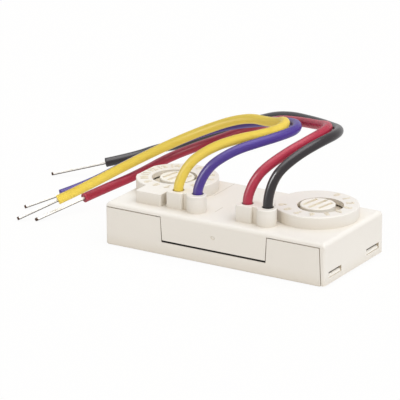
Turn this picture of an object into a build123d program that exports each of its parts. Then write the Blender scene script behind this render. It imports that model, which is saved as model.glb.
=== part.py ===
from build123d import *
from math import cos, pi, radians, sin, tan
import os

# Addressable monitor module: a snap-together plastic box with two rotary address dials and four leads.
# X runs along the box, Y from its front to its back, Z up; the origin is under the middle of the box.

os.makedirs("parts", exist_ok=True)

# Housing
length = 69.85
width = 33.0
cover_top = 12.35
plate_bottom = 11.1
cover_foot = 0.3
wall = 1.5
corner_radius = 0.7
edge_radius = 1.2
half_length = length / 2
half_width = width / 2

# Snap end, where the cover's wall thins towards the bottom and laps over the base
end_wall_top = 1.5
end_wall_bottom = 0.97
seam = 0.25
snap_spacing = 21.2
window_width = 7.1
window_bottom = 2.0
window_top = 3.75
barb_width = 6.5

# Tongue of the cover in the front and back walls of the base
tongue_half_top = 16.85
tongue_half_foot = 16.4
tongue_foot = 4.3
sill_top = 3.7
tongue_gap = 0.25
sill_lip = 0.4

# Dials: centre of each, then what they share
dials = {"tens": (-23.65, 3.25), "ones": (22.0, 2.65)}
collars = {"tens": (-24.1, 4.15), "ones": (21.5, 3.1)}
collar_radius = 11.7
collar_top = 15.8
collar_cavity = 9.7
collar_roof = 1.4
opening_radius = 6.45
opening_shift = 0.9
neck_radius = 8.0
neck_top = 13.8

# Wire bosses: hole centres of the two pairs, square boss first
hole_y = -9.7
square_holes = {"yellow": -15.2, "red": 7.0}
round_holes = {"violet": -8.95, "black": 13.4}
boss_top = 17.2
boss_back = -6.9
boss_half = 2.6
round_boss_radius = 2.8
round_boss_y = -10.4
lead_hole = 3.3
lead_diameter = 2.75
core_diameter = 1.0
core_lengths = {"yellow": 12.8, "violet": 11.4, "red": 17.1, "black": 16.6}

# Routes of the leads, from the boss tops over the loops at the right to the stripped ends at the left
lead_routes = {
    "yellow": [
        (-15.2, -9.7, 17.2), (-15.2, -9.7, 19.4), (-13.95, -9.25, 22.7), (-10.9, -8.1, 26.7),
        (-5.8, -6.0, 30.3), (0.0, -2.6, 32.6), (5.6, 0.8, 34.1), (9.0, 5.4, 35.2), (7.4, 10.8, 35.1),
        (1.6, 13.4, 33.9), (-10.1, 17.5, 31.5), (-27.6, 17.9, 23.5), (-43.6, 12.0, 14.6),
        (-53.68, 0.86, 8.51), (-59.05, -4.5, 5.4),
    ],
    "violet": [
        (-8.95, -9.7, 17.2), (-8.95, -9.7, 19.4), (-7.65, -9.25, 22.7), (-4.5, -8.2, 26.6),
        (0.7, -5.7, 30.2), (5.7, -2.6, 32.2), (10.2, 1.2, 33.7), (12.8, 6.8, 34.6), (9.8, 12.4, 34.4),
        (4.0, 16.3, 32.8), (-6.5, 19.8, 30.4), (-22.1, 22.2, 25.8), (-39.2, 21.1, 16.7),
        (-51.6, 16.3, 10.1), (-59.66, 11.77, 6.65), (-64.75, 5.1, 4.0),
    ],
    "red": [
        (7.0, -9.7, 17.2), (7.0, -9.7, 19.6), (8.15, -9.25, 23.0), (11.0, -8.2, 27.0),
        (15.8, -4.4, 31.4), (20.0, 0.8, 34.4), (21.9, 6.6, 35.8), (20.0, 12.2, 35.5),
        (14.6, 15.6, 34.3), (7.8, 18.8, 33.0), (-3.9, 23.1, 30.6), (-20.4, 25.5, 24.0),
        (-38.4, 25.1, 13.7), (-47.9, 19.8, 8.2), (-53.17, 12.7, 5.45), (-56.3, 4.75, 3.8),
    ],
    "black": [
        (13.4, -9.7, 17.2), (13.4, -9.7, 20.0), (14.4, -9.4, 23.8), (16.7, -8.6, 28.0),
        (20.6, -5.0, 32.2), (24.2, 0.2, 34.8), (25.4, 6.4, 35.4), (23.2, 12.6, 34.7),
        (18.0, 17.2, 33.5), (11.8, 21.0, 32.4), (-2.5, 26.7, 30.8), (-15.5, 31.6, 26.7),
        (-32.4, 36.2, 19.5), (-44.4, 38.6, 13.9), (-53.0, 39.9, 9.7), (-61.11, 39.0, 5.79),
        (-68.25, 34.55, 4.0),
    ],
}

# Circuit board
floor_thickness = 1.5
board_bottom = 3.0
board_top = 4.6
board_left = -32.9
board_right = 31.2
board_width = 27.2
pin_foot = 2.1

# Rotary code switches
switch_size = 15.0
switch_base_top = 6.0
switch_shoulder = 9.6
switch_body_top = 10.6
switch_cavity = 6.9
rotor_radius = 4.9
rotor_top = 16.05
pointer_turn = -8
flange_radius = 6.0
flange_bottom = 8.3
flange_top = 9.5
journal_radius = 1.8
journal_foot = 5.1
running_gap = 0.05
slot_depth = 1.1
contact_top = 6.1
detent_angle = 45
detent_step = 25
detent_count = 10

# What follows from these
board_centre = ((board_left + board_right) / 2, 0)
post_places = [(-30.8, -11.6), (29.2, -11.6), (-13.6, 11.6), (11.4, 11.6)]
hold_down_places = [(-23.0, -12.2), (24.0, -12.2)]
lead_holes = {**square_holes, **round_holes}
pin_angles = [-150, -90, -30, 60, 120]
pin_circle = 6.2
detent_angles = [detent_angle + detent_step * k for k in range(detent_count)]


def save(part, name):
    part.label = name
    export_step(part, f"parts/{name}.step")
    print(f"{name}: {len(part.solids())} solids, {part.volume:.1f} mm3")


# Base tray: open box with a sloping snap end, a gap in both long walls for the cover's tongues,
# and a stepped rim whose inner half carries the cover
with BuildPart() as base_tray:
    with BuildSketch(Plane.XZ):
        Polygon(
            (-half_length, 0),
            (half_length - end_wall_bottom - seam, 0),
            (half_length - end_wall_top - seam, plate_bottom),
            (-half_length, plate_bottom),
            align=None,
        )
    extrude(amount=half_width, both=True)
    fillet(base_tray.edges().filter_by(Axis.Z).group_by(Axis.X)[0], corner_radius)
    chamfer(base_tray.faces().sort_by(Axis.Z)[0].edges(), 0.3)
    inner_left = -half_length + wall
    inner_right = half_length - end_wall_top - seam - wall
    with BuildSketch(Plane.XY.offset(floor_thickness)):
        with Locations(((inner_left + inner_right) / 2, 0)):
            RectangleRounded(inner_right - inner_left, width - 2 * wall, 0.6)
    extrude(amount=plate_bottom, mode=Mode.SUBTRACT)
    # shadow line under the cover, cut into the outer half of three walls
    rim_right = half_length
    with BuildSketch(Plane.XY.offset(plate_bottom - seam)):
        with Locations((rim_right / 2, 0)):
            Rectangle(length + rim_right, width + 2)
        with Locations((rim_right / 2, 0)):
            Rectangle(length + rim_right - wall, width - wall, mode=Mode.SUBTRACT)
    extrude(amount=seam, mode=Mode.SUBTRACT)
    with BuildSketch(Plane.XZ):
        Polygon(
            (-tongue_half_foot - tongue_gap, sill_top),
            (tongue_half_foot + tongue_gap, sill_top),
            (tongue_half_top + tongue_gap, plate_bottom + 1),
            (-tongue_half_top - tongue_gap, plate_bottom + 1),
            align=None,
        )
    extrude(amount=width, both=True, mode=Mode.SUBTRACT)
    # grooves that leave only a thin lip of the sills under the tongues
    groove_depth = width / 2 - sill_lip - 14.8
    with BuildSketch(Plane.XY.offset(sill_top)):
        for side in (-1, 1):
            with Locations((0, side * (14.8 + groove_depth / 2))):
                Rectangle(2 * tongue_half_foot, groove_depth)
    extrude(amount=-0.9, mode=Mode.SUBTRACT)
    # ribs behind the tongues, so that nothing looks in under them
    with BuildSketch(Plane.XY.offset(floor_thickness)):
        with Locations((0, 14.4), (0, -14.4)):
            Rectangle(37.2, 0.8)
    extrude(amount=6.2 - floor_thickness)
    # ledges and posts under the circuit board, with pins through it
    with BuildSketch(Plane.XY.offset(floor_thickness)):
        with Locations((inner_left + 1.0, 0), (inner_right - 1.0, 0)):
            Rectangle(2.0, 8.0)
        with Locations(*post_places):
            Circle(1.8)
    extrude(amount=board_bottom - floor_thickness)
    with BuildSketch(Plane.XY.offset(board_bottom)):
        with Locations(*post_places):
            Circle(0.9)
    extrude(amount=board_top + 0.6 - board_bottom)
    # snap barbs: flat under, ramped on top
    with BuildSketch(Plane.XZ):
        Polygon((33.2, 2.1), (34.75, 2.1), (34.75, 2.6), (33.2, 3.65), align=None)
    barb = extrude(amount=barb_width / 2, both=True, mode=Mode.PRIVATE)
    add([Pos(0, side * snap_spacing / 2, 0) * barb for side in (-1, 1)])
    # blind pockets in the left wall for the cover's hooks
    with Locations(*[(inner_left, side * snap_spacing / 2, 7.6) for side in (-1, 1)]):
        Box(1.6, 6.6, 1.8, mode=Mode.SUBTRACT)

save(base_tray.part, "base_tray")

# Cover: plate with a rounded edge, tongues, snap end wall, collars, block and bosses
with BuildPart() as cover:
    with BuildSketch(Plane.XY.offset(cover_foot)):
        RectangleRounded(length, width, corner_radius)
    extrude(amount=cover_top - cover_foot)
    fillet(cover.faces().sort_by(Axis.Z)[-1].edges(), edge_radius)
    with BuildSketch(Plane.XZ):
        Polygon(
            (-length, 0),
            (half_length - end_wall_bottom, 0),
            (half_length - end_wall_top, plate_bottom),
            (-length, plate_bottom),
            align=None,
        )
    extrude(amount=width, both=True, mode=Mode.SUBTRACT)
    # the two tongues, flush with the long walls
    for back in (wall - half_width, half_width):
        with BuildSketch(Plane.XZ.offset(-back)):
            Polygon(
                (-tongue_half_foot, tongue_foot),
                (tongue_half_foot, tongue_foot),
                (tongue_half_top, plate_bottom),
                (-tongue_half_top, plate_bottom),
                align=None,
            )
        extrude(amount=wall)
    # locating ribs inside the long walls and hooks inside the left wall
    with Locations(*[(x, y, 10.1) for x in (-26, 25) for y in (-14.4, 14.4)]):
        Box(8.0, 0.8, 2.0)
    for side in (-1, 1):
        with Locations((inner_left + 0.75, side * snap_spacing / 2, 9.05)):
            Box(1.1, 6.0, 4.1)
        with Locations((inner_left, side * snap_spacing / 2, 7.6)):
            Box(1.2, 6.0, 1.0)
    # posts that hold the circuit board down
    with BuildSketch(Plane.XY.offset(board_top)):
        with Locations(*hold_down_places):
            Circle(1.2)
    extrude(amount=plate_bottom - board_top)
    # collars, and the block that runs out of the left one
    with BuildSketch(Plane.XY.offset(plate_bottom)):
        with Locations(*collars.values()):
            Circle(collar_radius)
        Rectangle(length, width, mode=Mode.INTERSECT)
    extrude(amount=collar_top - plate_bottom)
    fillet(cover.faces().filter_by(Axis.Z).sort_by(Axis.Z)[-2:].edges(), 0.3)
    with BuildSketch(Plane.XY.offset(plate_bottom)):
        with Locations((-23.4, -7.5)):
            block = Rectangle(8.2, 10.0)
        fillet(block.vertices().group_by(Axis.Y)[0], 0.5)
    extrude(amount=collar_top - plate_bottom)
    # cavities over the switch necks, then the openings, set outwards of the rotors
    with BuildSketch(Plane.XY.offset(plate_bottom)):
        with Locations(*dials.values()):
            Circle(collar_cavity)
        with Locations((-23.4, -8.2)):
            Rectangle(5.4, 5.8)
    extrude(amount=collar_top - collar_roof - plate_bottom, mode=Mode.SUBTRACT)
    for x, y in dials.values():
        outwards = opening_shift if x > 0 else -opening_shift
        with BuildSketch(Plane.XY.offset(plate_bottom)):
            with Locations((x + outwards, y)):
                Circle(opening_radius)
        extrude(amount=collar_top, mode=Mode.SUBTRACT)
    # wire bosses: square ones with flat fronts, round ones with barrel fronts, webs between them
    for x in square_holes.values():
        with BuildSketch(Plane.XY.offset(cover_top)):
            with Locations((x, (boss_back - 12.3) / 2)):
                boss = Rectangle(2 * boss_half, boss_back + 12.3)
            fillet(boss.vertices().group_by(Axis.Y)[0], 0.7)
        extrude(amount=boss_top - cover_top)
    for x in round_holes.values():
        with BuildSketch(Plane.XY.offset(cover_top)):
            with Locations((x, round_boss_y)):
                Circle(round_boss_radius)
            with Locations((x - 3.2, (boss_back - 11.2) / 2)):
                Rectangle(1.8, boss_back + 11.2)
        extrude(amount=boss_top - cover_top)
    chamfer(cover.faces().filter_by(Axis.Z).sort_by(Axis.Z)[-2:].edges(), 0.2)
    with Locations(*[(x, hole_y, 0) for x in lead_holes.values()]):
        Cylinder(lead_hole / 2, 2 * boss_top, mode=Mode.SUBTRACT)
    # snap windows in the end wall
    with Locations(*[(half_length, side * snap_spacing / 2, (window_bottom + window_top) / 2) for side in (-1, 1)]):
        Box(4.0, window_width, window_top - window_bottom, mode=Mode.SUBTRACT)

save(cover.part, "cover")

# Circuit board with holes for the pins of the base, the leads and the switches
switch_pins = [
    (x + pin_circle * cos(radians(a)), y + pin_circle * sin(radians(a)))
    for x, y in dials.values()
    for a in pin_angles
]
with BuildPart() as circuit_board:
    with BuildSketch(Plane.XY.offset(board_bottom)):
        with Locations(board_centre):
            RectangleRounded(board_right - board_left, board_width, 1.0)
        with Locations(*post_places):
            Circle(1.0, mode=Mode.SUBTRACT)
        with Locations(*[(x, hole_y) for x in lead_holes.values()]):
            Circle(0.65, mode=Mode.SUBTRACT)
        with Locations(*switch_pins):
            Circle(0.45, mode=Mode.SUBTRACT)
    extrude(amount=board_top - board_bottom)

save(circuit_board.part, "circuit_board")

# Rotary code switches, one under each collar. The terminal base carries the contacts and the rotor's
# journal; the rotor turns its head in the housing's neck, and its flange is caught below the shoulder.
for name, (x, y) in dials.items():
    with BuildPart() as switch_base:
        with BuildSketch(Plane(origin=(x, y, board_top))):
            RectangleRounded(switch_size, switch_size, 0.6)
            with Locations(*[(pin_circle * cos(radians(a)), pin_circle * sin(radians(a))) for a in pin_angles]):
                Circle(0.4, mode=Mode.SUBTRACT)
        extrude(amount=switch_base_top - board_top)
        with BuildSketch(Plane(origin=(x, y, switch_base_top))):
            Circle(journal_radius + running_gap)
        extrude(amount=journal_foot - 0.1 - switch_base_top, mode=Mode.SUBTRACT)

    save(switch_base.part, f"{name}_switch_base")

    with BuildPart() as switch_housing:
        with BuildSketch(Plane(origin=(x, y, switch_base_top))):
            RectangleRounded(switch_size, switch_size, 0.6)
        extrude(amount=switch_body_top - switch_base_top)
        with BuildSketch(Plane(origin=(x, y, switch_body_top))):
            Circle(neck_radius)
        extrude(amount=neck_top - switch_body_top)
        chamfer(switch_housing.faces().sort_by(Axis.Z)[-1].edges(), 0.3)
        with BuildSketch(Plane(origin=(x, y, switch_base_top))):
            Circle(switch_cavity)
        extrude(amount=switch_shoulder - switch_base_top, mode=Mode.SUBTRACT)
        with BuildSketch(Plane(origin=(x, y, switch_shoulder))):
            Circle(rotor_radius + running_gap)
        extrude(amount=neck_top, mode=Mode.SUBTRACT)

    save(switch_housing.part, f"{name}_switch_housing")

    with BuildPart() as rotor:
        with BuildSketch(Plane(origin=(x, y, journal_foot))):
            Circle(journal_radius)
        extrude(amount=flange_bottom - journal_foot)
        with BuildSketch(Plane(origin=(x, y, flange_bottom))):
            Circle(flange_radius)
            with Locations(*[(flange_radius * cos(radians(a)), flange_radius * sin(radians(a))) for a in detent_angles]):
                Circle(0.6, mode=Mode.SUBTRACT)
        extrude(amount=flange_top - flange_bottom)
        with BuildSketch(Plane(origin=(x, y, flange_top))):
            Circle(rotor_radius)
        extrude(amount=rotor_top - flange_top)
        chamfer(rotor.faces().sort_by(Axis.Z)[-1].edges(), 0.2)
        # driver slot in the middle, one slot each side of it, and the pointer notch in the rim
        with BuildSketch(Plane(origin=(x, y, rotor_top)).rotated((0, 0, pointer_turn))):
            Rectangle(1.1, 8.0)
            with Locations((-2.6, 0), (2.6, 0)):
                Rectangle(1.0, 6.2)
            with Locations((0, rotor_radius)):
                Rectangle(1.1, 1.2)
        extrude(amount=-slot_depth, mode=Mode.SUBTRACT)

    save(rotor.part, f"{name}_rotor")

    # sprung wiper under the flange: a ring with three bent fingers
    with BuildPart() as wiper:
        with BuildSketch(Plane(origin=(x, y, flange_bottom))):
            Circle(3.4)
            Circle(journal_radius + running_gap, mode=Mode.SUBTRACT)
        extrude(amount=-0.2)
        for a in (90, 210, 330):
            finger_plane = Plane(
                origin=(x, y, 0),
                x_dir=(cos(radians(a)), sin(radians(a)), 0),
                z_dir=(sin(radians(a)), -cos(radians(a)), 0),
            )
            with BuildSketch(finger_plane):
                Polygon(
                    (3.0, 8.3), (3.64, 8.3), (5.3, 6.66), (5.75, 6.95),
                    (5.85, 6.79), (5.3, 6.4), (3.56, 8.1), (3.0, 8.1),
                    align=None,
                )
            extrude(amount=0.6, both=True)

    save(wiper.part, f"{name}_wiper")

    # detent spring: a bowed strip against the cavity wall, with a nose towards the flange
    with BuildPart() as detent_spring:
        with BuildSketch(Plane(origin=(x, y, flange_bottom))):
            Circle(switch_cavity - 0.05)
            Circle(switch_cavity - 0.3, mode=Mode.SUBTRACT)
            with Locations(Location((0, 0, 0), (0, 0, detent_angle))):
                Polygon((0, 0), (12, -10), (12, 10), align=None, mode=Mode.INTERSECT)
                with Locations((switch_cavity - 0.2, 0)):
                    Circle(0.38)
                with Locations((switch_cavity + 1.95, 0)):
                    Rectangle(4, 4, mode=Mode.SUBTRACT)
        extrude(amount=flange_top - flange_bottom)

    save(detent_spring.part, f"{name}_detent_spring")

    # contacts on the terminal base, each with a pin through the circuit board
    with BuildPart() as contact_pins:
        with BuildSketch(Plane(origin=(x, y, switch_base_top))):
            with Locations(*[Location((0, 0, 0), (0, 0, a)) for a in pin_angles]):
                with Locations((5.5, 0)):
                    Rectangle(2.2, 3.0)
        extrude(amount=contact_top - switch_base_top)
        with BuildSketch(Plane(origin=(x, y, pin_foot))):
            with Locations(*[(pin_circle * cos(radians(a)), pin_circle * sin(radians(a))) for a in pin_angles]):
                Circle(0.3)
        extrude(amount=switch_base_top - pin_foot)

    save(contact_pins.part, f"{name}_contact_pins")

# Parts on the circuit board: name -> centre, size
bodies = {
    "controller_chip": ((-1.0, 8.2), (12.8, 7.5, 2.2)),
    "bridge_rectifier": ((-9.0, -1.2), (8.3, 6.4, 3.0)),
    "surge_suppressor": ((-0.8, -10.8), (4.6, 3.6, 2.2)),
}
for name, (centre, size) in bodies.items():
    with BuildPart() as body:
        with BuildSketch(Plane(origin=(*centre, board_top + 0.2))):
            Rectangle(size[0], size[1])
        extrude(amount=size[2])
        chamfer(body.faces().sort_by(Axis.Z)[-1].edges(), 0.3)
        if name == "controller_chip":
            with Locations((centre[0] - 5.0, centre[1] - 2.3, board_top + 0.2 + size[2])):
                Cylinder(0.5, 0.3, mode=Mode.SUBTRACT)
    save(body.part, name)

with BuildPart() as reservoir_capacitor:
    with BuildSketch(Plane(origin=(8.6, -1.0, board_top))):
        seat = Rectangle(6.6, 6.6)
        chamfer(seat.vertices().group_by(Axis.X)[1], 1.2)
    extrude(amount=1.0)
    with BuildSketch(Plane(origin=(8.6, -1.0, board_top + 1.0))):
        Circle(3.15)
    extrude(amount=4.8)
    fillet(reservoir_capacitor.faces().sort_by(Axis.Z)[-1].edges(), 0.35)

save(reservoir_capacitor.part, "reservoir_capacitor")

with BuildPart() as ceramic_resonator:
    with BuildSketch(Plane(origin=(0.5, -1.6, board_top))):
        RectangleRounded(7.2, 3.0, 0.5)
    extrude(amount=2.2)
    fillet(ceramic_resonator.faces().sort_by(Axis.Z)[-1].edges(), 0.3)

save(ceramic_resonator.part, "ceramic_resonator")

transistor_places = [(-18.6, -7.2), (29.2, -7.4)]
with BuildPart() as transistors:
    with BuildSketch(Plane.XY.offset(board_top + 0.1)):
        with Locations(*transistor_places):
            Rectangle(2.9, 1.3)
    extrude(amount=1.0)

save(transistors.part, "transistors")

# Legs of the flat components: a foot on the board, a riser and a short run to the side of the body.
# name -> places of the legs as (x, y, direction), reach, width
leg_groups = {
    "chip_legs": (
        [(-1.0 + 1.27 * (k - 4.5), 8.2 + side * 3.75, 90 * side) for k in range(10) for side in (-1, 1)],
        1.4,
        0.4,
    ),
    "component_legs": (
        [(-9.0 + side * 4.15, -1.2 + y, 90 - 90 * side) for side in (-1, 1) for y in (-2.5, 2.5)]
        + [(-0.8 + side * 2.3, -10.8, 90 - 90 * side) for side in (-1, 1)],
        1.0,
        1.2,
    ),
    "transistor_legs": (
        [(x + dx, y + side * 0.65, 90 * side) for x, y in transistor_places for dx, side in ((-0.95, -1), (0.95, -1), (0, 1))],
        0.7,
        0.4,
    ),
}
for name, (places, reach, leg_width) in leg_groups.items():
    rise = 0.45 if name == "transistor_legs" else 1.1
    with BuildPart() as legs:
        with BuildSketch(Plane.XZ):
            Polygon(
                (0, rise + 0.2), (0.5 * reach, rise + 0.2), (0.65 * reach, 0.2), (reach, 0.2),
                (reach, 0), (0.5 * reach, 0), (0.35 * reach, rise), (0, rise),
                align=None,
            )
        leg = extrude(amount=leg_width / 2, both=True, mode=Mode.PRIVATE)
        add([Pos(x, y, board_top) * Rot(0, 0, angle) * leg for x, y, angle in places])
    save(legs.part, name)

# Chip resistors and capacitors with a cap on each end
resistor_places = [(21.2 + 3.2 * (i - 1.5), -7.6 + 2.6 * (j - 0.5)) for i in range(4) for j in range(2)]
capacitor_places = [(-25.6 + 3.4 * (i - 1), -7.4 + 2.8 * (j - 0.5)) for i in range(3) for j in range(2)]
for name, places, height in (("chip_resistors", resistor_places, 0.5), ("chip_capacitors", capacitor_places, 0.9)):
    with BuildPart() as chips:
        with BuildSketch(Plane.XY.offset(board_top)):
            with Locations(*places):
                Rectangle(1.3, 1.25)
        extrude(amount=height)
    save(chips.part, name)

with BuildPart() as chip_terminals:
    for places, height in ((resistor_places, 0.5), (capacitor_places, 0.9)):
        with BuildSketch(Plane.XY.offset(board_top)):
            with Locations(*[(x + side * 0.85, y) for x, y in places for side in (-1, 1)]):
                Rectangle(0.4, 1.25)
        extrude(amount=height)

save(chip_terminals.part, "chip_terminals")

# Leads inside the bosses: insulated tails, bare ends through the board, and the solder under it
for name, x in lead_holes.items():
    with BuildPart() as lead_tail:
        with BuildSketch(Plane(origin=(x, hole_y, board_top + 1.6))):
            Circle(lead_diameter / 2)
        extrude(amount=boss_top - board_top - 1.6)
    save(lead_tail.part, f"{name}_lead_tail")

with BuildPart() as soldered_cores:
    with BuildSketch(Plane.XY.offset(pin_foot)):
        with Locations(*[(x, hole_y) for x in lead_holes.values()]):
            Circle(core_diameter / 2)
    extrude(amount=board_top + 1.6 - pin_foot)

save(soldered_cores.part, "soldered_cores")

# square pads with the solder drawn up round each pin
with BuildPart() as solder_joints:
    for places, hole, pad in (
        ([(x, hole_y) for x in lead_holes.values()], core_diameter / 2, 2.2),
        (switch_pins, 0.3, 1.5),
    ):
        with BuildSketch(Plane.XY.offset(board_bottom)):
            with Locations(*places):
                Rectangle(pad, pad)
        extrude(amount=-0.6, taper=33)
        with BuildSketch(Plane.XY.offset(board_bottom)):
            with Locations(*places):
                Circle(hole)
        extrude(amount=-0.6, mode=Mode.SUBTRACT)

save(solder_joints.part, "solder_joints")


# Free leads: round tubes along straight runs joined by arcs, then the stripped conductors
def arc_radii(points):
    radii = []
    for before, corner, after in zip(points, points[1:], points[2:]):
        run_in = Vector(corner) - Vector(before)
        run_out = Vector(after) - Vector(corner)
        turn = radians(run_in.get_angle(run_out))
        radii.append(0.45 * min(run_in.length, run_out.length) / tan(turn / 2))
    return radii


for name, points in lead_routes.items():
    radii = arc_radii(points)
    with BuildPart() as lead:
        with BuildLine() as route:
            FilletPolyline(*points, radius=radii)
        with BuildSketch(Plane(origin=route.line @ 0, z_dir=route.line % 0)):
            Circle(lead_diameter / 2)
        sweep(path=route.line)
    save(lead.part, f"{name}_lead")
    print("  bend radii", [round(r, 1) for r in radii])
    lead_length = sum(edge.length for edge in route.line.edges())
    filled = lead.part.volume / (pi * lead_diameter**2 / 4 * lead_length)
    print(f"  length {lead_length:.1f} mm, volume over section x length {filled:.4f}")

    with BuildPart() as lead_core:
        with BuildSketch(Plane(origin=route.line @ 1, z_dir=route.line % 1)):
            Circle(core_diameter / 2)
        extrude(amount=core_lengths[name])
    save(lead_core.part, f"{name}_lead_core")
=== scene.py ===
from math import cos, pi, radians, sin, tau

import bmesh
import bpy
from mathutils import Euler, Matrix, Vector


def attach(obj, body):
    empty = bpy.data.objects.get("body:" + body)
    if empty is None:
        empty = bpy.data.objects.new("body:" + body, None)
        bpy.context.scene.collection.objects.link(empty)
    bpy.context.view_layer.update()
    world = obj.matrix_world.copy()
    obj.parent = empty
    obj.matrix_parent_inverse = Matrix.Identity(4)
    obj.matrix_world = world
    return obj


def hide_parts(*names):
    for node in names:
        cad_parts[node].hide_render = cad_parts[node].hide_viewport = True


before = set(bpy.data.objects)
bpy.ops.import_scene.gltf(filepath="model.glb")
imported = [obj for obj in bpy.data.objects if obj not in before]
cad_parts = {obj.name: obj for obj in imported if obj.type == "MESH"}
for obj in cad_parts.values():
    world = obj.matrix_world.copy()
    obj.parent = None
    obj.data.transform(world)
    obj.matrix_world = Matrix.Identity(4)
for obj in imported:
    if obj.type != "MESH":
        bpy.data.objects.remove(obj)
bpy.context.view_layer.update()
mm = 0.001
print("model loaded")


def addObject(name, data):
    obj = bpy.data.objects.new(name, data)
    bpy.context.collection.objects.link(obj)
    return obj


# the photograph's viewpoint, in metres and degrees: the camera faces the target, and the shift puts
# that point in its place
viewpoint = {
    "azimuth": 30.73,
    "elevation": 19.29,
    "distance": 0.842,
    "target": (0, 0, 0.005),
    "lens": 273.0,
    "sensor": 36,
    "shiftX": -0.1093,
    "shiftY": 0.0773,
    "nearest": 0.01,
    "farthest": 20,
}


def makeCamera():
    data = bpy.data.cameras.new("camera")
    data.lens = viewpoint["lens"]
    data.sensor_width = viewpoint["sensor"]
    data.shift_x = viewpoint["shiftX"]
    data.shift_y = viewpoint["shiftY"]
    data.clip_start = viewpoint["nearest"]
    data.clip_end = viewpoint["farthest"]
    data.dof.use_dof = False
    camera = addObject("camera", data)
    turn = Euler((radians(90 - viewpoint["elevation"]), 0, radians(viewpoint["azimuth"])))
    camera.rotation_euler = turn
    away = turn.to_matrix() @ Vector((0, 0, viewpoint["distance"]))
    camera.location = Vector(viewpoint["target"]) + away
    bpy.context.scene.camera = camera


makeCamera()


# Nodes, in any tree: the settings first, then the values or links of the sockets
def addNode(tree, kind, settings=None, values=None):
    made = tree.nodes.new(kind)
    for key, value in (settings or {}).items():
        setattr(made, key, value)
    for key, value in (values or {}).items():
        if isinstance(value, bpy.types.NodeSocket):
            tree.links.new(value, made.inputs[key])
        else:
            made.inputs[key].default_value = value
    return made


# Shader sheets: a wire is an output socket, and arithmetic on it adds Math nodes
class Wire:
    def __init__(self, sheet, socket):
        self.sheet = sheet
        self.socket = socket

    def maths(self, operation, first, second=0.0):
        return self.sheet.node("ShaderNodeMath", {"operation": operation}, {0: first, 1: second})

    def __add__(self, other):
        return self.maths("ADD", self, other)

    __radd__ = __add__

    def __sub__(self, other):
        return self.maths("SUBTRACT", self, other)

    def __rsub__(self, other):
        return self.maths("SUBTRACT", other, self)

    def __mul__(self, other):
        return self.maths("MULTIPLY", self, other)

    __rmul__ = __mul__

    def power(self, exponent):
        return self.maths("POWER", self, exponent)

    def low(self, other):
        return self.maths("MINIMUM", self, other)

    def high(self, other):
        return self.maths("MAXIMUM", self, other)

    def size(self):
        return self.maths("ABSOLUTE", self)

    # a noise swings about 0.5
    def swing(self, amount):
        return (self - 0.5) * amount

    # 0 at the start, 1 at the end and smooth between them; the start may be the higher number
    def step(self, start, end):
        values = {"Value": self, "From Min": start, "From Max": end, "To Min": 0.0, "To Max": 1.0}
        return self.sheet.node("ShaderNodeMapRange", {"interpolation_type": "SMOOTHSTEP"}, values)


class Sheet:
    def __init__(self, owner):
        owner.use_nodes = True
        self.owner = owner
        self.tree = owner.node_tree
        self.tree.nodes.clear()

    def node(self, kind, settings=None, values=None, output=0):
        given = {}
        for key, value in (values or {}).items():
            given[key] = value.socket if isinstance(value, Wire) else value
        made = addNode(self.tree, kind, settings, given)
        if made.outputs:
            return Wire(self, made.outputs[output])

    def place(self):
        return self.node("ShaderNodeTexCoord", output="Object")

    def millimetres(self, vector):
        split = self.node("ShaderNodeSeparateXYZ", None, {0: vector})
        return [1 / mm * Wire(self, out) for out in split.socket.node.outputs]

    def noise(self, vector, scale, detail, roughness):
        values = {"Vector": vector, "Scale": scale, "Detail": detail, "Roughness": roughness}
        return self.node("ShaderNodeTexNoise", None, values)

    def stretch(self, vector, amounts):
        return self.node("ShaderNodeVectorMath", {"operation": "MULTIPLY"}, {0: vector, 1: amounts})

    # a Mix node's colours are its sockets 6 and 7, and their blend is its output 2
    def blend(self, factor, first, second):
        values = {0: factor, 6: first, 7: second}
        return self.node("ShaderNodeMix", {"data_type": "RGBA"}, values, output=2)

    # how closed off the space round a point is: the mask for painted shade in corners
    def crevice(self, reach):
        clear = self.node("ShaderNodeAmbientOcclusion", {"samples": 8}, {"Distance": reach}, output="AO")
        return 1 - clear

    def bump(self, height, depth, before=None):
        values = {"Height": height, "Distance": depth, "Strength": 1.0}
        if before:
            values["Normal"] = before
        return self.node("ShaderNodeBump", None, values)

    # 1 for what the camera sees, straight or in a reflection, and 0 for the light on the object
    def backdrop(self):
        rays = self.node("ShaderNodeLightPath").socket.node.outputs
        return Wire(self, rays["Is Camera Ray"]).high(Wire(self, rays["Is Glossy Ray"]))

    def finish(self, values):
        surface = self.node("ShaderNodeBsdfPrincipled", None, values)
        self.node("ShaderNodeOutputMaterial", None, {"Surface": surface})
        return self.owner


def newSheet(name):
    return Sheet(bpy.data.materials.new(name))


def dress(obj, material):
    obj.data.materials.clear()
    obj.data.materials.append(material)


def addBuilt(name, built):
    mesh = bpy.data.meshes.new(name)
    built.to_mesh(mesh)
    built.free()
    return addObject(name, mesh)


def evaluatedMesh(obj):
    return bpy.data.meshes.new_from_object(obj.evaluated_get(bpy.context.evaluated_depsgraph_get()))


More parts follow.
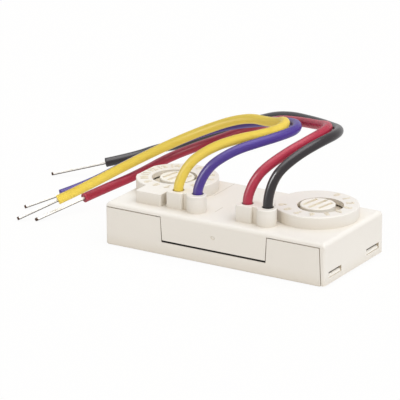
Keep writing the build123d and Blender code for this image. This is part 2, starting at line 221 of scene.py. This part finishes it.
# Leads: the route's points are the control points of a smooth spline, in millimetres
leadLook = {
    "diameter": 2.75,
    "coreLength": {"yellow": 12.8, "violet": 11.1, "red": 17.1, "black": 16.6},
    "stepsAlong": 16,
    "stepsRound": 6,
}
leadRoutes = {
    "yellow": [
        (-15.2, -9.7, 17.2), (-15.2, -9.7, 18.4), (-14.35, -9.4, 20.9), (-13.1, -8.95, 23.6),
        (-10.8, -8.1, 26.7), (-5.8, -6.0, 30.3), (0.0, -2.6, 32.6), (5.6, 0.8, 33.8), (9.0, 5.4, 34.8),
        (7.4, 10.8, 35.34), (1.6, 13.4, 32.99), (-10.1, 17.5, 32.05), (-27.6, 17.9, 23.99),
        (-43.6, 12.0, 14.86), (-53.68, 0.86, 8.19), (-59.05, -4.5, 5.2),
    ],
    "violet": [
        (-8.95, -9.7, 17.2), (-8.95, -9.7, 18.3), (-8.15, -9.4, 20.8), (-6.8, -8.95, 23.6),
        (-4.4, -8.1, 26.6), (0.7, -5.7, 30.2), (5.7, -2.6, 32.2), (10.2, 1.2, 33.7), (12.8, 6.8, 34.6),
        (9.8, 12.4, 34.4), (4.0, 16.3, 32.87), (-6.5, 19.8, 30.49), (-22.1, 22.2, 25.78),
        (-39.2, 21.1, 17.53), (-51.6, 16.3, 10.03), (-58.9, 10.07, 5.5), (-64.26, 4.51, 3.4),
    ],
    "red": [
        (7.0, -9.7, 17.2), (7.0, -9.7, 18.6), (7.75, -9.45, 21.2), (8.95, -9.0, 24.0),
        (11.1, -8.1, 27.2), (15.8, -4.4, 31.4), (20.0, 0.8, 34.4), (21.9, 6.6, 35.8),
        (20.0, 12.2, 35.5), (14.6, 15.6, 33.93), (7.8, 18.8, 32.91), (-3.9, 23.1, 30.65),
        (-20.4, 25.5, 22.33), (-38.4, 25.1, 14.04), (-47.9, 19.8, 7.62), (-53.17, 12.7, 5.1),
        (-56.3, 4.75, 3.55),
    ],
    "black": [
        (13.4, -9.7, 17.2), (13.4, -9.7, 19.0), (13.95, -9.5, 22.0), (15.0, -9.1, 25.2),
        (16.9, -8.3, 28.4), (20.6, -5.0, 32.2), (24.2, 0.2, 34.8), (25.4, 6.4, 35.4),
        (23.2, 12.6, 34.7), (18.0, 17.2, 33.5), (11.8, 21.0, 32.8), (-2.5, 26.7, 31.44),
        (-15.5, 31.6, 26.03), (-32.4, 36.2, 18.78), (-44.4, 38.6, 12.39), (-53.0, 39.9, 9.54),
        (-61.11, 39.0, 5.79), (-68.25, 34.55, 4.0),
    ],
}


def makeSpline(name, points):
    data = bpy.data.curves.new(name, "CURVE")
    data.dimensions = "3D"
    data.resolution_u = leadLook["stepsAlong"]
    spline = data.splines.new("NURBS")
    spline.points.add(len(points) - 1)
    for point, place in zip(spline.points, points):
        point.co = (*[c * mm for c in place], 1)
    spline.order_u = 3
    spline.use_endpoint_u = True
    return addObject(name, data)


def splinePoints(obj):
    line = evaluatedMesh(obj)
    points = [v.co.copy() for v in line.vertices]
    bpy.data.meshes.remove(line)
    return points


# Stripped conductors: strands laid in a twist, made in one tree of Geometry Nodes, in millimetres
strandLook = {
    "strands": 13,
    "strandRadius": 0.11,
    "layRadius": 0.385,
    "turnLength": 13.0,
    "usualLength": 13.0,
    "shortOfTip": 0.4,
    "wholeRadius": 0.5,
    "stepsAlong": 24,
    "sides": 8,
}


def twistTree(material):
    tree = bpy.data.node_groups.new("twistedStrands", "GeometryNodeTree")
    for name, kind, value in (
        ("Length", "NodeSocketFloat", strandLook["usualLength"] * mm),
        ("Turn Length", "NodeSocketFloat", strandLook["turnLength"] * mm),
        ("Strands", "NodeSocketInt", strandLook["strands"]),
        ("Strand Radius", "NodeSocketFloat", strandLook["strandRadius"] * mm),
        ("Lay Radius", "NodeSocketFloat", strandLook["layRadius"] * mm),
    ):
        tree.interface.new_socket(name, in_out="INPUT", socket_type=kind).default_value = value
    tree.interface.new_socket("Geometry", in_out="OUTPUT", socket_type="NodeSocketGeometry")
    given = addNode(tree, "NodeGroupInput").outputs

    def out(kind, settings=None, values=None):
        return addNode(tree, kind, settings, values).outputs[0]

    # one strand round the axis, and a copy of it for each strand, turned by its share of the circle
    turns = out("ShaderNodeMath", {"operation": "DIVIDE"}, {0: given["Length"], 1: given["Turn Length"]})
    spiral = out("GeometryNodeCurveSpiral", None, {
        "Resolution": strandLook["stepsAlong"],
        "Rotations": turns,
        "Start Radius": given["Lay Radius"],
        "End Radius": given["Lay Radius"],
        "Height": given["Length"],
    })
    starts = out("GeometryNodePoints", None, {"Count": given["Strands"]})
    index = out("GeometryNodeInputIndex")
    share = out("ShaderNodeMath", {"operation": "DIVIDE"}, {0: index, 1: given["Strands"]})
    angle = out("ShaderNodeMath", {"operation": "MULTIPLY"}, {0: share, 1: tau})
    turn = out("ShaderNodeCombineXYZ", None, {"Z": angle})
    placing = {"Points": starts, "Instance": spiral, "Rotation": turn}
    placed = out("GeometryNodeInstanceOnPoints", None, placing)
    # the straight strand in the middle
    upwards = {"Direction": (0, 0, 1), "Length": given["Length"]}
    heart = out("GeometryNodeCurvePrimitiveLine", {"mode": "DIRECTION"}, upwards)
    joined = addNode(tree, "GeometryNodeJoinGeometry")
    tree.links.new(heart, joined.inputs[0])
    tree.links.new(placed, joined.inputs[0])
    real = out("GeometryNodeRealizeInstances", None, {0: joined.outputs[0]})
    outline = {"Resolution": strandLook["sides"], "Radius": given["Strand Radius"]}
    section = out("GeometryNodeCurvePrimitiveCircle", None, outline)
    sweep = {"Curve": real, "Profile Curve": section, "Fill Caps": True}
    tubes = out("GeometryNodeCurveToMesh", None, sweep)
    smooth = out("GeometryNodeSetShadeSmooth", None, {0: tubes})
    dressed = out("GeometryNodeSetMaterial", None, {"Geometry": smooth, "Material": material})
    addNode(tree, "NodeGroupOutput", None, {0: dressed})
    return tree


# Moulded plastics: colour, the painted shade that gathers in corners and its reach in millimetres, and the
# tool's grain. Depths of grain, lines and scratches are in metres.
plastics = {
    "housing": {
        "colour": (0.80, 0.775, 0.735, 1), "corner": (0.58, 0.49, 0.35, 1),
        "reach": 4.0, "rough": 0.46, "grain": 8e-6,
    },
    "switch": {
        "colour": (0.78, 0.73, 0.63, 1), "corner": (0.56, 0.46, 0.31, 1),
        "reach": 2.0, "rough": 0.42, "grain": 4e-6,
    },
    # the dial's painted corner shade is warm and hardly darker: painted bounced light in its slots
    "dial": {
        "colour": (0.855, 0.83, 0.77, 1), "corner": (0.95, 0.84, 0.60, 1),
        "reach": 1.6, "rough": 0.36, "grain": 3e-6,
    },
    # the numerals are tinted tan: painted shade on their raised strokes
    "numeral": {
        "colour": (0.75, 0.695, 0.575, 1), "corner": (0.58, 0.49, 0.35, 1),
        "reach": 1.0, "rough": 0.50, "grain": 5e-6,
    },
}
# what all mouldings share: a pattern is a scale, a detail and a roughness
moulding = {
    "cloud": (70.0, 3.0, 0.5),
    "speck": (1500.0, 2.0, 0.6),
    "flow": (260.0, 2.0, 0.5),
    "flowStretch": (0.25, 1.0, 1.0),
    "flowDepth": 1.2e-5,
    "tone": 0.975,
    "cloudTone": 0.05,
    "speckEdge": (0.62, 0.75),
    "speckTone": 0.03,
    "shade": (0, 0, 0, 1),
    "cornerShare": 0.55,
    "flowRough": 0.10,
    "cloudRough": 0.08,
}
plasticIor = 1.5


def mouldedPlastic(name, look, extras=None):
    sheet = newSheet(name)
    place = sheet.place()
    cloud = sheet.noise(place, *moulding["cloud"])
    speck = sheet.noise(place, *moulding["speck"])
    flow = sheet.noise(sheet.stretch(place, moulding["flowStretch"]), *moulding["flow"])
    tone = moulding["tone"] + cloud * moulding["cloudTone"]
    tone = tone - speck.step(*moulding["speckEdge"]) * moulding["speckTone"]
    colour = sheet.blend(1 - tone, look["colour"], moulding["shade"])
    # painted shade: a darker, warmer colour where corners and recesses close off the space round a surface
    corner = sheet.crevice(look["reach"] * mm) * moulding["cornerShare"]
    colour = sheet.blend(corner, colour, look["corner"])
    rough = look["rough"] + flow.swing(moulding["flowRough"]) + cloud.swing(moulding["cloudRough"])
    normal = sheet.bump(speck, look["grain"])
    normal = sheet.bump(flow, moulding["flowDepth"], normal)
    if extras:
        colour, normal = extras(sheet, place, colour, normal)
    return sheet.finish({"Base Color": colour, "Roughness": rough, "Normal": normal, "IOR": plasticIor})


# Marks on the cover, in millimetres: two numbers are where a mark starts and where it is full, and ends
# and a middle are points
coverMarks = {
    # shallow tool lines on the plate, each from one point to another, bumped and darkened with painted shade
    # in the groove
    "line": {
        "ends": [((-12.1, 15.3), (-11.67, 3.38)), ((-4.33, -4.12), (-4.1, -8.55))],
        "edge": (0.16, 0.04), "above": (12.0, 12.2), "below": (12.5, 12.4),
        "share": 0.5, "colour": (0.34, 0.28, 0.20, 1), "depth": 6e-5,
    },
    # the sides of the snap windows, with painted shade like that in the other corners
    "window": {
        "inner": (33.3, 33.4), "outer": (34.88, 34.80),
        "above": (1.85, 1.95), "below": (3.9, 3.8), "between": (15.0, 14.9),
        "share": 0.6, "colour": (0.66, 0.55, 0.38, 1),
    },
    # the rims of the bores that the leads come out of, in deep shade
    "rim": {"edge": (1.72, 1.56), "above": (15.0, 15.2), "colour": (0.05, 0.035, 0.028, 1)},
    # the gate's witness mark in the middle of the front tongue, with a tinted ring
    "gate": {
        "ends": ((-0.3, 7.9), (0.1, 7.8)), "edge": (0.52, 0.34), "front": (-16.0, -16.3),
        "middle": ((-0.2, 7.95), (0.1, 7.9)), "middleEdge": (0.34, 0.12),
        "share": 0.45, "colour": (0.50, 0.40, 0.26, 1), "depth": 1e-4,
    },
}
# marks on the tray, in the same way
trayMarks = {
    # the lips behind the tongues are painted dark: painted shade of the inside of the box
    "inside": {"side": (16.28, 16.16), "end": (18.9, 18.7), "above": (1.0, 1.3)},
    # the snap barbs are painted paler than the walls: painted light on them in their windows
    "barb": {"out": (33.1, 33.15), "between": (14.6, 14.5), "share": 0.8, "colour": (0.92, 0.90, 0.85, 1)},
    # and the upper edge of each is painted dark: painted shade in its window
    "barbTop": {"above": (2.84, 3.0), "share": 0.85},
    "paintedShade": (0.02, 0.017, 0.018, 1),
}


# distance from a segment, or from a point where the segment's ends are the same
def segmentDistance(across, up, start, end):
    (ax, ay), (bx, by) = start, end
    dx, dy = bx - ax, by - ay
    span = dx * dx + dy * dy or 1.0
    along = (dx / span * (across - ax) + dy / span * (up - ay)).high(0.0).low(1.0)
    offAcross = across - (ax + dx * along)
    offUp = up - (ay + dy * along)
    return (offAcross * offAcross + offUp * offUp).power(0.5)


def nearestDistance(across, up, segments):
    distances = [segmentDistance(across, up, start, end) for start, end in segments]
    nearest = distances[0]
    for distance in distances[1:]:
        nearest = nearest.low(distance)
    return nearest


def coverExtras(sheet, place, colour, normal):
    x, y, z = sheet.millimetres(place)
    look = coverMarks["line"]
    line = nearestDistance(x, y, look["ends"]).step(*look["edge"])
    line = line * z.step(*look["above"]) * z.step(*look["below"])
    colour = sheet.blend(line * look["share"], colour, look["colour"])
    normal = sheet.bump(1 - line, look["depth"], normal)
    look = coverMarks["window"]
    window = x.step(*look["inner"]) * x.step(*look["outer"]) * y.size().step(*look["between"])
    window = window * z.step(*look["above"]) * z.step(*look["below"])
    colour = sheet.blend(window * look["share"], colour, look["colour"])
    look = coverMarks["rim"]
    exits = [points[0][:2] for points in leadRoutes.values()]
    rim = nearestDistance(x, y, zip(exits, exits)).step(*look["edge"]) * z.step(*look["above"])
    colour = sheet.blend(rim, colour, look["colour"])
    look = coverMarks["gate"]
    gate = segmentDistance(x, z, *look["ends"]).step(*look["edge"]) * y.step(*look["front"])
    ring = gate * (1 - segmentDistance(x, z, *look["middle"]).step(*look["middleEdge"]))
    colour = sheet.blend(ring * look["share"], colour, look["colour"])
    return colour, sheet.bump(1 - gate, look["depth"], normal)


def trayExtras(sheet, place, colour, normal):
    x, y, z = sheet.millimetres(place)
    look = trayMarks["inside"]
    paintedShade = y.size().step(*look["side"]) * x.size().step(*look["end"]) * z.step(*look["above"])
    look = trayMarks["barb"]
    barb = x.step(*look["out"]) * y.size().step(*look["between"])
    colour = sheet.blend(barb * look["share"], colour, look["colour"])
    look = trayMarks["barbTop"]
    paintedShade = paintedShade.high(barb * z.step(*look["above"]) * look["share"])
    return sheet.blend(paintedShade, colour, trayMarks["paintedShade"]), normal


# Insulation: extruded, with faint streaks, scuffs and a slightly uneven gloss
insulations = {
    "yellow": {
        "colour": (0.80, 0.61, 0.095, 1), "deep": (0.65, 0.43, 0.03, 1), "rough": 0.42, "gloss": 0.26,
    },
    "violet": {
        "colour": (0.062, 0.032, 0.25, 1), "deep": (0.045, 0.024, 0.19, 1), "rough": 0.38, "gloss": 0.36,
    },
    "red": {
        "colour": (0.42, 0.028, 0.062, 1), "deep": (0.25, 0.015, 0.034, 1), "rough": 0.38, "gloss": 0.33,
    },
    "black": {
        "colour": (0.018, 0.014, 0.017, 1), "deep": (0.010, 0.008, 0.010, 1), "rough": 0.30, "gloss": 0.42,
    },
}
# what all four share: a pattern is a scale, a detail and a roughness
extrusion = {
    "streak": (420.0, 3.0, 0.5),
    "streakStretch": (0.35, 1.0, 1.0),
    "streakEdge": (0.52, 0.72),
    "streakShare": 0.3,
    "streakDepth": 5e-6,
    "scuff": (900.0, 4.0, 0.65),
    "scuffEdge": (0.60, 0.72),
    "scuffShare": 0.025,
    "scuffColour": (0.75, 0.73, 0.72, 1),
    "scuffDepth": 5e-7,
    "fadeEdge": (0.58, 0.70),
    "dullRough": 0.04,
    "rubbed": (95.0, 2.0, 0.5),
    "rubbedRough": 0.12,
}


def insulation(name, look):
    sheet = newSheet(name)
    place = sheet.place()
    streak = sheet.noise(sheet.stretch(place, extrusion["streakStretch"]), *extrusion["streak"])
    scuff = sheet.noise(place, *extrusion["scuff"])
    rubbed = sheet.noise(place, *extrusion["rubbed"])
    deep = streak.step(*extrusion["streakEdge"]) * extrusion["streakShare"]
    colour = sheet.blend(deep, look["colour"], look["deep"])
    scuffed = scuff.step(*extrusion["scuffEdge"]) * extrusion["scuffShare"]
    colour = sheet.blend(scuffed, colour, extrusion["scuffColour"])
    rough = look["rough"] + rubbed.swing(extrusion["rubbedRough"])
    rough = rough + scuff.step(*extrusion["fadeEdge"]) * extrusion["dullRough"]
    normal = sheet.bump(streak, extrusion["streakDepth"])
    normal = sheet.bump(scuff, extrusion["scuffDepth"], normal)
    gloss = {"IOR": plasticIor, "Specular IOR Level": look["gloss"]}
    return sheet.finish({"Base Color": colour, "Roughness": rough, "Normal": normal, **gloss})


# Metals: the conductors' underside is darkened with a painted shade colour
metals = {
    "tinned": {"colour": (0.80, 0.79, 0.77, 1), "deep": (0.55, 0.50, 0.43, 1), "rough": 0.26},
    "strand": {
        "colour": (0.93, 0.92, 0.90, 1), "deep": (0.84, 0.80, 0.72, 1), "paintedUndersideShade": (0.07, 0.05, 0.035, 1),
        "rough": 0.38, "metallic": 0.6,
    },
    # a near-black finish for the ends: painted shade in the hole of a cut end, and the darker end of a tip
    "darkEnd": {"colour": (0.10, 0.055, 0.04, 1), "deep": (0.05, 0.03, 0.02, 1), "rough": 0.5},
    "bronze": {"colour": (0.68, 0.46, 0.22, 1), "deep": (0.45, 0.28, 0.12, 1), "rough": 0.34},
    "solder": {"colour": (0.72, 0.73, 0.74, 1), "deep": (0.50, 0.50, 0.50, 1), "rough": 0.30},
    "can": {"colour": (0.78, 0.79, 0.80, 1), "deep": (0.60, 0.61, 0.62, 1), "rough": 0.30},
}
# what all metals share: a pattern is a scale, a detail and a roughness
metalWear = {
    "stain": (700.0, 3.0, 0.5),
    "stainEdge": (0.45, 0.75),
    "stainShare": 0.6,
    "scratch": (3200.0, 2.0, 0.5),
    "scratchStretch": (0.2, 1.0, 1.0),
    "scratchRough": 0.16,
    "scratchDepth": 2e-6,
    "cornerReach": 0.6,
    "cornerShare": 0.6,
    "cornerTone": 0.45,
    "fadeEdge": (0.0, -0.45),
}


def metal(name, look):
    sheet = newSheet(name)
    place = sheet.place()
    stain = sheet.noise(place, *metalWear["stain"])
    scratch = sheet.noise(sheet.stretch(place, metalWear["scratchStretch"]), *metalWear["scratch"])
    stained = stain.step(*metalWear["stainEdge"]) * metalWear["stainShare"]
    colour = sheet.blend(stained, look["colour"], look["deep"])
    # painted shade between the strands and in the metal parts' other corners
    corner = sheet.crevice(metalWear["cornerReach"] * mm) * metalWear["cornerShare"]
    cornerColour = (*[c * metalWear["cornerTone"] for c in look["deep"][:3]], 1)
    colour = sheet.blend(corner, colour, cornerColour)
    # painted shade on the conductors: darker from their middle down to their underside
    if "paintedUndersideShade" in look:
        # an attribute as one number is output 2
        lift = sheet.node("ShaderNodeAttribute", {"attribute_name": "lift"}, output=2)
        colour = sheet.blend(lift.step(*metalWear["fadeEdge"]), colour, look["paintedUndersideShade"])
    rough = look["rough"] + scratch.swing(metalWear["scratchRough"])
    normal = sheet.bump(scratch, metalWear["scratchDepth"])
    values = {"Base Color": colour, "Roughness": rough, "Normal": normal}
    return sheet.finish({**values, "Metallic": look.get("metallic", 1.0)})


# Board parts, hidden in the closed box
boardLook = {
    "mask": (0.012, 0.10, 0.045, 1),
    "track": (0.03, 0.22, 0.10, 1),
    "trackScale": 420.0,
    "trackEdge": (0.10, 0.06),
    "trackShare": 0.55,
    "trackDepth": 2e-5,
    "weave": (0.02, 0.14, 0.07, 1),
    "weavePattern": (2200.0, 2.0, 0.5),
    "weaveShare": 0.2,
    "weaveRough": 0.15,
    "rough": 0.32,
}


def boardLaminate():
    sheet = newSheet("boardLaminate")
    place = sheet.place()
    weave = sheet.noise(place, *boardLook["weavePattern"])
    cellValues = {"Vector": place, "Scale": boardLook["trackScale"]}
    cells = sheet.node("ShaderNodeTexVoronoi", {"feature": "DISTANCE_TO_EDGE"}, cellValues)
    track = cells.step(*boardLook["trackEdge"])
    colour = sheet.blend(track * boardLook["trackShare"], boardLook["mask"], boardLook["track"])
    colour = sheet.blend(weave * boardLook["weaveShare"], colour, boardLook["weave"])
    rough = boardLook["rough"] + weave * boardLook["weaveRough"]
    normal = sheet.bump(track, boardLook["trackDepth"])
    return sheet.finish({"Base Color": colour, "Roughness": rough, "Normal": normal})


componentLooks = {
    "mould": {
        "colour": (0.028, 0.028, 0.031, 1), "corner": (0.012, 0.012, 0.013, 1),
        "reach": 1.5, "rough": 0.55, "grain": 1e-5,
    },
    "resistor": {
        "colour": (0.035, 0.035, 0.045, 1), "corner": (0.015, 0.015, 0.02, 1),
        "reach": 1.5, "rough": 0.30, "grain": 4e-6,
    },
    "ceramic": {
        "colour": (0.42, 0.27, 0.16, 1), "corner": (0.25, 0.15, 0.08, 1),
        "reach": 1.5, "rough": 0.50, "grain": 8e-6,
    },
    "resonator": {
        "colour": (0.60, 0.38, 0.10, 1), "corner": (0.35, 0.20, 0.05, 1),
        "reach": 1.5, "rough": 0.35, "grain": 6e-6,
    },
}

finishes = {
    "cover": mouldedPlastic("coverPlastic", plastics["housing"], coverExtras),
    "tray": mouldedPlastic("trayPlastic", plastics["housing"], trayExtras),
    "switch": mouldedPlastic("switchPlastic", plastics["switch"]),
    "dial": mouldedPlastic("dialPlastic", plastics["dial"]),
    "numeral": mouldedPlastic("numeralPlastic", plastics["numeral"]),
    "board": boardLaminate(),
}
for key, look in metals.items():
    finishes[key] = metal(key + "Metal", look)
for key, look in componentLooks.items():
    finishes[key] = mouldedPlastic(key + "Body", look)
for key, look in insulations.items():
    finishes[key] = insulation(key + "Insulation", look)
print("finishes made")

nodeFinish = {
    "base_tray": "tray",
    "cover": "cover",
    "circuit_board": "board",
    "controller_chip": "mould",
    "bridge_rectifier": "mould",
    "surge_suppressor": "mould",
    "transistors": "mould",
    "reservoir_capacitor": "can",
    "ceramic_resonator": "resonator",
    "chip_legs": "tinned",
    "component_legs": "tinned",
    "transistor_legs": "tinned",
    "chip_resistors": "resistor",
    "chip_capacitors": "ceramic",
    "chip_terminals": "tinned",
    "soldered_cores": "tinned",
    "solder_joints": "solder",
}
for dial in ("tens", "ones"):
    nodeFinish[dial + "_switch_base"] = "switch"
    nodeFinish[dial + "_switch_housing"] = "switch"
    nodeFinish[dial + "_rotor"] = "dial"
    nodeFinish[dial + "_wiper"] = "bronze"
    nodeFinish[dial + "_detent_spring"] = "bronze"
    nodeFinish[dial + "_contact_pins"] = "tinned"
for colour in leadRoutes:
    nodeFinish[colour + "_lead_tail"] = colour
for node, key in nodeFinish.items():
    dress(bpy.data.objects[node], finishes[key])
print("model dressed")

# The turned pieces on a lead's end: rings of radius and height, in millimetres from where the piece stands
tipLook = {"sides": 16, "rings": [(0.325, -1.5), (0.45, -1.25), (0.5, -0.6), (0.46, 0.0)]}
cutEndLook = {
    "sides": 32,
    "rings": [(1.372, -0.40), (1.40, -0.14), (1.37, 0.03), (1.24, 0.10), (0.95, 0.05), (0.72, -0.08)],
}


def standing(start, along):
    return Matrix.Translation(start) @ along.to_track_quat("Z", "Y").to_matrix().to_4x4()


def turnedPiece(name, look, start, along, outside):
    # the last band and its cap take the dark end finish: painted shade in the hole of a cut end, and a
    # darker end on a tip
    sides = look["sides"]
    made = bmesh.new()
    loops = []
    for radius, height in look["rings"]:
        ring = [(radius * cos(tau * k / sides), radius * sin(tau * k / sides), height) for k in range(sides)]
        loops.append([made.verts.new(Vector(spot) * mm) for spot in ring])
    for low, high in zip(loops, loops[1:]):
        for k in range(sides):
            face = made.faces.new((low[k], low[(k + 1) % sides], high[(k + 1) % sides], high[k]))
            face.smooth = True
            face.material_index = int(high is loops[-1])
    made.faces.new(list(reversed(loops[0])))
    made.faces.new(loops[-1]).material_index = 1
    made.transform(standing(start, along))
    obj = addBuilt(name, made)
    obj.data.materials.append(outside)
    obj.data.materials.append(finishes["darkEnd"])
    return obj


def markLift(mesh, start, along):
    # how high each point lies on the conductor, from -1 at its underside to 1 on top
    lift = mesh.attributes.new("lift", "FLOAT", "POINT")
    for point, vertex in zip(lift.data, mesh.vertices):
        off = vertex.co - start
        point.value = (off - along * off.dot(along)).z / (strandLook["wholeRadius"] * mm)


def makeTip(name, start, along, length):
    # the tinned end of the twist, cut square
    end = start + along * length
    obj = turnedPiece(name, tipLook, end, along, finishes["strand"])
    markLift(obj.data, end, along)
    return obj


def makeCutEnd(name, start, along, material):
    # the rolled lip where the insulation was cut, with painted shade in the hole that the strands come out
    # of
    return turnedPiece(name, cutEndLook, start, along, material)


def makeStrands(name, tree, start, along, length):
    obj = addObject(name, bpy.data.meshes.new(name))
    modifier = obj.modifiers.new("twist", "NODES")
    modifier.node_group = tree
    sockets = {item.name: item.identifier for item in tree.interface.items_tree if item.in_out == "INPUT"}
    modifier[sockets["Length"]] = length - strandLook["shortOfTip"] * mm
    mesh = evaluatedMesh(obj)
    obj.modifiers.clear()
    mesh.transform(standing(start, along))
    markLift(mesh, start, along)
    obj.data = mesh
    return obj


twist = twistTree(finishes["strand"])
for colour, points in leadRoutes.items():
    lead = makeSpline(colour + "Lead", points)
    line = splinePoints(lead)
    lead.data.bevel_depth = leadLook["diameter"] / 2 * mm
    lead.data.bevel_resolution = leadLook["stepsRound"]
    lead.data.use_fill_caps = True
    dress(lead, finishes[colour])
    along = (line[-1] - line[-2]).normalized()
    coreLength = leadLook["coreLength"][colour] * mm
    strands = makeStrands(colour + "Strands", twist, line[-1], along, coreLength)
    tip = makeTip(colour + "Tip", line[-1], along, coreLength)
    cut = makeCutEnd(colour + "CutEnd", line[-1], along, finishes[colour])
    leadSlot = "lead_" + colour
    for piece, slot in ((lead, leadSlot), (cut, leadSlot), (strands, "conductor"), (tip, "conductor")):
        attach(piece, "module")
    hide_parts(colour + "_lead")
    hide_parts(colour + "_lead_core")

# Numerals round each dial, raised a little from the collar, clockwise from the pointer's first place
numeralLook = {
    "height": 2.1,
    "heightShare": 0.7,  # a digit's height as a share of the font's size
    "bold": 0.08,
    "raise": 0.14,
    "sunk": 0.05,
    "first": 82,
    "collarTop": 15.8,
    "stepsRound": 3,
    "mergeGap": 1e-4,
}
numeralRings = {
    "tens": {"centre": (-23.9, 3.9), "ring": 9.3, "count": 16, "step": 22.5},
    "ones": {"centre": (21.2, 3.3), "ring": 9.2, "count": 10, "step": 25},
}


def makeNumerals(dial, ring):
    parts = bmesh.new()
    for count in range(ring["count"]):
        data = bpy.data.curves.new("numeral", "FONT")
        data.body = str(count)
        data.size = numeralLook["height"] * mm / numeralLook["heightShare"]
        data.align_x = "CENTER"
        data.align_y = "CENTER"
        data.extrude = (numeralLook["raise"] + numeralLook["sunk"]) / 2 * mm
        data.offset = numeralLook["bold"] * mm
        data.resolution_u = numeralLook["stepsRound"]
        text = addObject("numeral", data)
        mesh = evaluatedMesh(text)
        bpy.data.objects.remove(text)
        angle = radians(numeralLook["first"] - ring["step"] * count)
        spot = Vector((
            ring["centre"][0] + ring["ring"] * cos(angle),
            ring["centre"][1] + ring["ring"] * sin(angle),
            numeralLook["collarTop"] + (numeralLook["raise"] - numeralLook["sunk"]) / 2,
        )) * mm
        mesh.transform(Matrix.Translation(spot) @ Matrix.Rotation(angle - pi / 2, 4, "Z"))
        parts.from_mesh(mesh)
    bmesh.ops.remove_doubles(parts, verts=parts.verts, dist=numeralLook["mergeGap"] * mm)
    obj = addBuilt(dial + "Numerals", parts)
    dress(obj, finishes["numeral"])
    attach(obj, "module")


for dial, ring in numeralRings.items():
    makeNumerals(dial, ring)
print("numerals made")

# Studio: a wide soft key from above and the right, a faint warm fill from the front, and a pale floor.
# The key passes through the leads, so that they don't darken the box, and they have a key of their own
# from further right. Two soft boxes are seen only in the leads' gloss, the upper one not in the yellow.
everyLead = tuple(leadRoutes)
darkLeads = ("violet", "red", "black")
studio = {
    "lamps": {
        "key": {"from": (0.42, -0.07, 0.90), "strength": 2.15, "spread": 80, "passes": everyLead},
        "leadKey": {
            "from": (0.75, -0.12, 0.65), "strength": 2.1, "spread": 50, "lights": everyLead, "matt": True,
        },
        "fill": {"from": (-0.15, -1, 0.08), "strength": 0.30, "spread": 30, "tint": (1, 0.8, 0.5)},
        "topBox": {
            "from": (-0.26, -0.30, 0.92), "strength": 4, "spread": 70, "lights": darkLeads, "gloss": True,
        },
        "frontBox": {
            "from": (-0.60, -0.75, 0.10), "strength": 2.6, "spread": 14, "lights": everyLead, "gloss": True,
        },
    },
    "sky": 0.55,
    "skyTint": (1.0, 0.985, 0.96, 1),
    "floor": (0.81, 0.79, 0.76, 1),
    "floorGlow": 0.93,
    "floorHalf": 4,  # metres
    "floorDrop": 0.2 * mm,
    "white": (1, 1, 1, 1),
}


def leadCollection(name, state, colours):
    group = bpy.data.collections.new(name)
    for colour in colours:
        group.objects.link(bpy.data.objects[colour + "Lead"])
    for entry in group.collection_objects:
        entry.light_linking.link_state = state
    return group


def makeLamp(name, look):
    data = bpy.data.lights.new(name, "SUN")
    data.energy = look["strength"]
    data.angle = radians(look["spread"])
    data.color = look.get("tint", studio["white"][:3])
    lamp = addObject(name, data)
    lamp.rotation_euler = Vector(look["from"]).to_track_quat("Z", "Y").to_euler()
    lamp.visible_diffuse = not look.get("gloss")
    lamp.visible_glossy = not look.get("matt")
    if "lights" in look:
        leads = leadCollection(name + "Leads", "INCLUDE", look["lights"])
        lamp.light_linking.receiver_collection = leads
    if "passes" in look:
        missed = leadCollection(name + "NoLeads", "EXCLUDE", look["passes"])
        lamp.light_linking.receiver_collection = missed
        passed = leadCollection(name + "Passes", "EXCLUDE", look["passes"])
        lamp.light_linking.blocker_collection = passed


def makeSky():
    world = bpy.data.worlds.new("sky")
    bpy.context.scene.world = world
    sheet = Sheet(world)
    seen = sheet.backdrop()
    strength = sheet.node("ShaderNodeMapRange", None, {0: seen, "To Min": studio["sky"], "To Max": 1.0})
    tint = sheet.blend(seen, studio["skyTint"], studio["white"])
    back = sheet.node("ShaderNodeBackground", None, {"Color": tint, "Strength": strength})
    sheet.node("ShaderNodeOutputWorld", None, {"Surface": back})


def makeFloor():
    made = bmesh.new()
    bmesh.ops.create_grid(made, x_segments=1, y_segments=1, size=studio["floorHalf"])
    made.transform(Matrix.Translation((0, 0, -studio["floorDrop"])))
    floor = addBuilt("floor", made)
    sheet = newSheet("floorPaper")
    matt = sheet.node("ShaderNodeBsdfDiffuse", None, {"Color": studio["floor"]})
    white = sheet.node("ShaderNodeEmission", None, {"Color": studio["white"], "Strength": 1.0})
    glow = sheet.backdrop() * studio["floorGlow"]
    mixed = sheet.node("ShaderNodeMixShader", None, {0: glow, 1: matt, 2: white})
    sheet.node("ShaderNodeOutputMaterial", None, {"Surface": mixed})
    dress(floor, sheet.owner)


for lampName, lampLook in studio["lamps"].items():
    makeLamp(lampName, lampLook)
makeSky()
makeFloor()
bpy.context.scene.view_settings.view_transform = "Standard"
print("studio made")
